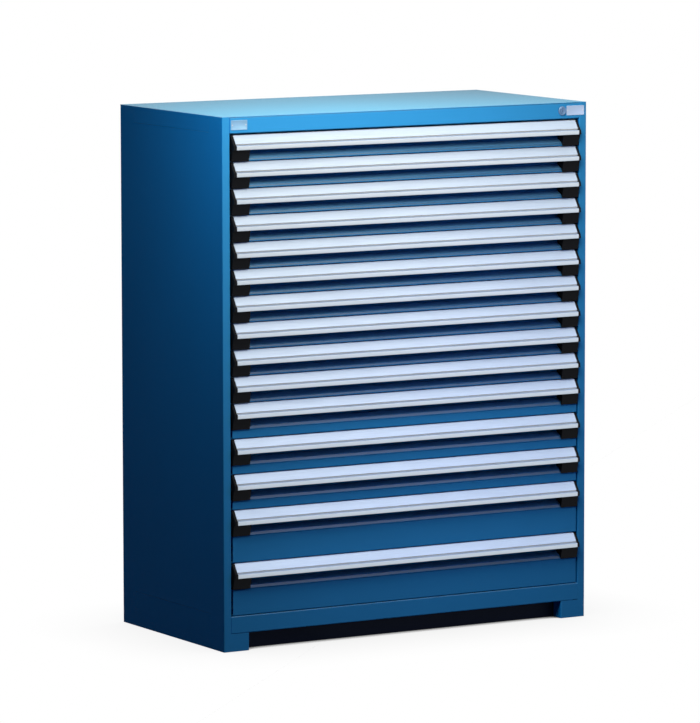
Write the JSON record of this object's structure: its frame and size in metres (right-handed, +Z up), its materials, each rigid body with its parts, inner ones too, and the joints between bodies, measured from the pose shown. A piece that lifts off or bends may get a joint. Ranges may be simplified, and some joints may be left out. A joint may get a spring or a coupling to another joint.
{
  "type": "modular drawer cabinet",
  "caption": "Tall, wide steel cabinet of full-width drawers on full-extension slides, with silver pull handles, a recessed toe-kick and a lock that catches every drawer.",
  "frame": {"origin": "centre of the bounding box's footprint, at the floor; the handles' lips are its front edge, so the front face of the housing lies 19 mm behind it", "axes": "+X to the right as seen by the user, +Y to the back, so that drawers open along -Y, +Z up"},
  "size_m": [1.2192, 0.6286, 1.524],
  "materials": {
    "body_paint": "satin powder coat, light blue",
    "toe_paint": "satin powder coat, black",
    "plated_steel": "zinc plated",
    "handle_aluminium": "satin anodised",
    "lock_metal": "satin nickel plated",
    "plate_metal": "satin, light grey, no print"
  },
  "bodies": {
    "housing": {"right_side_panel": "body_paint", "left_side_panel": "body_paint", "top_panel": "body_paint", "header_rail": "body_paint", "bottom_rail": "body_paint", "back_panel": "body_paint", "bottom_panel": "body_paint", "base_frame": "body_paint", "toe_kick_panel": "toe_paint", "slotted_uprights": "plated_steel", "drawer_runners": "plated_steel", "lock_housing": "lock_metal", "name_plates": "plate_metal"},
    "lock_plug": {"lock_plug": "lock_metal"},
    "lock_bar": {"lock_bar": "plated_steel"},
    "drawer_01": {"drawer_01_tray": "body_paint", "drawer_01_handle": "handle_aluminium"},
    "carriages_01": {"drawer_01_carriage": "plated_steel"},
    "drawer_02": {"drawer_02_tray": "body_paint", "drawer_02_handle": "handle_aluminium"},
    "carriages_02": {"drawer_02_carriage": "plated_steel"},
    "drawer_03": {"drawer_03_tray": "body_paint", "drawer_03_handle": "handle_aluminium"},
    "carriages_03": {"drawer_03_carriage": "plated_steel"},
    "drawer_04": {"drawer_04_tray": "body_paint", "drawer_04_handle": "handle_aluminium"},
    "carriages_04": {"drawer_04_carriage": "plated_steel"},
    "drawer_05": {"drawer_05_tray": "body_paint", "drawer_05_handle": "handle_aluminium"},
    "carriages_05": {"drawer_05_carriage": "plated_steel"},
    "drawer_06": {"drawer_06_tray": "body_paint", "drawer_06_handle": "handle_aluminium"},
    "carriages_06": {"drawer_06_carriage": "plated_steel"},
    "drawer_07": {"drawer_07_tray": "body_paint", "drawer_07_handle": "handle_aluminium"},
    "carriages_07": {"drawer_07_carriage": "plated_steel"},
    "drawer_08": {"drawer_08_tray": "body_paint", "drawer_08_handle": "handle_aluminium"},
    "carriages_08": {"drawer_08_carriage": "plated_steel"},
    "drawer_09": {"drawer_09_tray": "body_paint", "drawer_09_handle": "handle_aluminium"},
    "carriages_09": {"drawer_09_carriage": "plated_steel"},
    "drawer_10": {"drawer_10_tray": "body_paint", "drawer_10_handle": "handle_aluminium"},
    "carriages_10": {"drawer_10_carriage": "plated_steel"},
    "drawer_11": {"drawer_11_tray": "body_paint", "drawer_11_handle": "handle_aluminium"},
    "carriages_11": {"drawer_11_carriage": "plated_steel"},
    "drawer_12": {"drawer_12_tray": "body_paint", "drawer_12_handle": "handle_aluminium"},
    "carriages_12": {"drawer_12_carriage": "plated_steel"},
    "drawer_13": {"drawer_13_tray": "body_paint", "drawer_13_handle": "handle_aluminium"},
    "carriages_13": {"drawer_13_carriage": "plated_steel"},
    "drawer_14": {"drawer_14_tray": "body_paint", "drawer_14_handle": "handle_aluminium"},
    "carriages_14": {"drawer_14_carriage": "plated_steel"},
    "drawer_15": {"drawer_15_tray": "body_paint", "drawer_15_handle": "handle_aluminium"},
    "carriages_15": {"drawer_15_carriage": "plated_steel"}
  },
  "joints": [
    {"name": "lock_turn", "type": "hinge", "parent": "housing", "child": "lock_plug", "pos_m": [0.525, -0.2953, 1.50019], "axis": [0, 1, 0], "range_deg": [0, 90]},
    {"name": "lock_bar_lift", "type": "slide", "parent": "housing", "child": "lock_bar", "axis": [0, 0, 1], "range_m": [0, 0.008]},
    {"name": "drawer_01_slide", "type": "slide", "parent": "housing", "child": "drawer_01", "axis": [0, -1, 0], "range_m": [0, 0.54]},
    {"name": "carriages_01_slide", "type": "slide", "parent": "housing", "child": "carriages_01", "axis": [0, -1, 0], "range_m": [0, 0.2705]},
    {"name": "drawer_02_slide", "type": "slide", "parent": "housing", "child": "drawer_02", "axis": [0, -1, 0], "range_m": [0, 0.54]},
    {"name": "carriages_02_slide", "type": "slide", "parent": "housing", "child": "carriages_02", "axis": [0, -1, 0], "range_m": [0, 0.2705]},
    {"name": "drawer_03_slide", "type": "slide", "parent": "housing", "child": "drawer_03", "axis": [0, -1, 0], "range_m": [0, 0.54]},
    {"name": "carriages_03_slide", "type": "slide", "parent": "housing", "child": "carriages_03", "axis": [0, -1, 0], "range_m": [0, 0.2705]},
    {"name": "drawer_04_slide", "type": "slide", "parent": "housing", "child": "drawer_04", "axis": [0, -1, 0], "range_m": [0, 0.54]},
    {"name": "carriages_04_slide", "type": "slide", "parent": "housing", "child": "carriages_04", "axis": [0, -1, 0], "range_m": [0, 0.2705]},
    {"name": "drawer_05_slide", "type": "slide", "parent": "housing", "child": "drawer_05", "axis": [0, -1, 0], "range_m": [0, 0.54]},
    {"name": "carriages_05_slide", "type": "slide", "parent": "housing", "child": "carriages_05", "axis": [0, -1, 0], "range_m": [0, 0.2705]},
    {"name": "drawer_06_slide", "type": "slide", "parent": "housing", "child": "drawer_06", "axis": [0, -1, 0], "range_m": [0, 0.54]},
    {"name": "carriages_06_slide", "type": "slide", "parent": "housing", "child": "carriages_06", "axis": [0, -1, 0], "range_m": [0, 0.2705]},
    {"name": "drawer_07_slide", "type": "slide", "parent": "housing", "child": "drawer_07", "axis": [0, -1, 0], "range_m": [0, 0.54]},
    {"name": "carriages_07_slide", "type": "slide", "parent": "housing", "child": "carriages_07", "axis": [0, -1, 0], "range_m": [0, 0.2705]},
    {"name": "drawer_08_slide", "type": "slide", "parent": "housing", "child": "drawer_08", "axis": [0, -1, 0], "range_m": [0, 0.54]},
    {"name": "carriages_08_slide", "type": "slide", "parent": "housing", "child": "carriages_08", "axis": [0, -1, 0], "range_m": [0, 0.2705]},
    {"name": "drawer_09_slide", "type": "slide", "parent": "housing", "child": "drawer_09", "axis": [0, -1, 0], "range_m": [0, 0.54]},
    {"name": "carriages_09_slide", "type": "slide", "parent": "housing", "child": "carriages_09", "axis": [0, -1, 0], "range_m": [0, 0.2705]},
    {"name": "drawer_10_slide", "type": "slide", "parent": "housing", "child": "drawer_10", "axis": [0, -1, 0], "range_m": [0, 0.54]},
    {"name": "carriages_10_slide", "type": "slide", "parent": "housing", "child": "carriages_10", "axis": [0, -1, 0], "range_m": [0, 0.2705]},
    {"name": "drawer_11_slide", "type": "slide", "parent": "housing", "child": "drawer_11", "axis": [0, -1, 0], "range_m": [0, 0.54]},
    {"name": "carriages_11_slide", "type": "slide", "parent": "housing", "child": "carriages_11", "axis": [0, -1, 0], "range_m": [0, 0.2705]},
    {"name": "drawer_12_slide", "type": "slide", "parent": "housing", "child": "drawer_12", "axis": [0, -1, 0], "range_m": [0, 0.54]},
    {"name": "carriages_12_slide", "type": "slide", "parent": "housing", "child": "carriages_12", "axis": [0, -1, 0], "range_m": [0, 0.2705]},
    {"name": "drawer_13_slide", "type": "slide", "parent": "housing", "child": "drawer_13", "axis": [0, -1, 0], "range_m": [0, 0.54]},
    {"name": "carriages_13_slide", "type": "slide", "parent": "housing", "child": "carriages_13", "axis": [0, -1, 0], "range_m": [0, 0.2705]},
    {"name": "drawer_14_slide", "type": "slide", "parent": "housing", "child": "drawer_14", "axis": [0, -1, 0], "range_m": [0, 0.54]},
    {"name": "carriages_14_slide", "type": "slide", "parent": "housing", "child": "carriages_14", "axis": [0, -1, 0], "range_m": [0, 0.2705]},
    {"name": "drawer_15_slide", "type": "slide", "parent": "housing", "child": "drawer_15", "axis": [0, -1, 0], "range_m": [0, 0.54]},
    {"name": "carriages_15_slide", "type": "slide", "parent": "housing", "child": "carriages_15", "axis": [0, -1, 0], "range_m": [0, 0.2705]}
  ],
  "couplings": [
    {"joint": "lock_turn", "follows": "lock_bar_lift", "rad_per_m": 196.35},
    {"joint": "carriages_01_slide", "follows": "drawer_01_slide", "ratio": 0.5},
    {"joint": "carriages_02_slide", "follows": "drawer_02_slide", "ratio": 0.5},
    {"joint": "carriages_03_slide", "follows": "drawer_03_slide", "ratio": 0.5},
    {"joint": "carriages_04_slide", "follows": "drawer_04_slide", "ratio": 0.5},
    {"joint": "carriages_05_slide", "follows": "drawer_05_slide", "ratio": 0.5},
    {"joint": "carriages_06_slide", "follows": "drawer_06_slide", "ratio": 0.5},
    {"joint": "carriages_07_slide", "follows": "drawer_07_slide", "ratio": 0.5},
    {"joint": "carriages_08_slide", "follows": "drawer_08_slide", "ratio": 0.5},
    {"joint": "carriages_09_slide", "follows": "drawer_09_slide", "ratio": 0.5},
    {"joint": "carriages_10_slide", "follows": "drawer_10_slide", "ratio": 0.5},
    {"joint": "carriages_11_slide", "follows": "drawer_11_slide", "ratio": 0.5},
    {"joint": "carriages_12_slide", "follows": "drawer_12_slide", "ratio": 0.5},
    {"joint": "carriages_13_slide", "follows": "drawer_13_slide", "ratio": 0.5},
    {"joint": "carriages_14_slide", "follows": "drawer_14_slide", "ratio": 0.5},
    {"joint": "carriages_15_slide", "follows": "drawer_15_slide", "ratio": 0.5}
  ]
}
